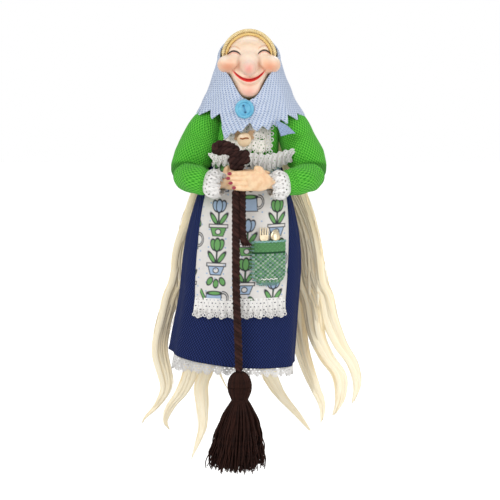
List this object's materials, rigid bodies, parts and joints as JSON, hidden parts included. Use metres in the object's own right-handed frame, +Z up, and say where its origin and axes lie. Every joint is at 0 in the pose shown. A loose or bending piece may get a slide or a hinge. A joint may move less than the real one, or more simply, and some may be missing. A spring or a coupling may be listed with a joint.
{
  "type": "hanging cloth doll",
  "caption": "Hanging cloth doll: a smiling old woman with a painted head, kerchief, apron and very long hair, who holds a cord broom with a tassel.",
  "frame": {"origin": "crown of the head, where a hanging thread is knotted", "axes": "+Z up, the face looks along -Y, +X to the viewer's right"},
  "size_m": [0.1343, 0.0825, 0.2679],
  "materials": {
    "painted_face": "painted, satin",
    "painted_hands": "painted, satin",
    "blond_hair": "combed fibre, soft sheen",
    "kerchief_cloth": "coarse basket weave",
    "blue_button": "gloss",
    "green_cloth": "coarse basket weave",
    "navy_cloth": "coarse weave",
    "white_lace": "lace",
    "ivory_lace": "lace",
    "apron_cloth": "printed plain weave",
    "pocket_knit": "jacquard knit",
    "cream_button": "pearly gloss",
    "tan_ribbon": "satin ribbon",
    "gold_metal": "gilt, bright",
    "brown_cord": "twisted cotton",
    "dowel_wood": "plain",
    "stuffing_cloth": "stuffed cotton"
  },
  "bodies": {
    "doll": {"apron": "apron_cloth", "apron_lace": "white_lace", "bodice": "green_cloth", "body_core": "stuffing_cloth", "broom_knot": "brown_cord", "broom_loop": "brown_cord", "button_thread": "white_lace", "cuff_left": "white_lace", "cuff_right": "white_lace", "hair_cap": "blond_hair", "hair_nape": "blond_hair", "hair_plait": "blond_hair", "hair_strand": "blond_hair", "hand_left": "painted_hands", "hand_right": "painted_hands", "head": "painted_face", "jabot": "ivory_lace", "jabot_button": "cream_button", "kerchief": "kerchief_cloth", "kerchief_button": "blue_button", "neck_dowel": "dowel_wood", "pocket": "pocket_knit", "ribbon_bow": "tan_ribbon", "skirt": "navy_cloth", "skirt_base": "stuffing_cloth", "sleeve_forearm_left": "green_cloth", "sleeve_forearm_right": "green_cloth", "sleeve_upper_left": "green_cloth", "sleeve_upper_right": "green_cloth", "underskirt_frill": "white_lace", "waist_frill": "white_lace"},
    "broom": {"broom_cord": "brown_cord", "broom_tail": "brown_cord"},
    "tassel": {"tassel_head": "brown_cord", "tassel_binding": "brown_cord", "tassel_fringe": "brown_cord"},
    "hair": {"hair_back": "blond_hair", "hair_lock_left_floor": "blond_hair", "hair_lock_left_middle": "blond_hair", "hair_lock_left_outer": "blond_hair", "hair_lock_left_thin": "blond_hair", "hair_lock_right_inner": "blond_hair", "hair_lock_right_long": "blond_hair", "hair_lock_right_middle": "blond_hair", "hair_lock_right_outer": "blond_hair"},
    "fork": {"fork": "gold_metal"},
    "spoon": {"spoon": "gold_metal"}
  },
  "joints": [
    {"name": "broom_swing", "type": "hinge", "parent": "doll", "child": "broom", "pos_m": [-0.0054, -0.03368, -0.0972], "axis": [0, 1, 0], "range_deg": [-45, 45]},
    {"name": "tassel_swing", "type": "hinge", "parent": "broom", "child": "tassel", "pos_m": [-0.0054, -0.03368, -0.197], "axis": [0, 1, 0], "range_deg": [-40, 40]},
    {"name": "hair_swing", "type": "hinge", "parent": "doll", "child": "hair", "pos_m": [-0.0005, 0.0178, -0.0615], "axis": [1, 0, 0], "range_deg": [0, 50]},
    {"name": "fork_lift", "type": "slide", "parent": "doll", "child": "fork", "axis": [-0.0245, 0.0851, 0.9961], "range_m": [0, 0.016]},
    {"name": "spoon_lift", "type": "slide", "parent": "doll", "child": "spoon", "axis": [-0.0364, 0.0756, 0.9965], "range_m": [0, 0.016]}
  ]
}
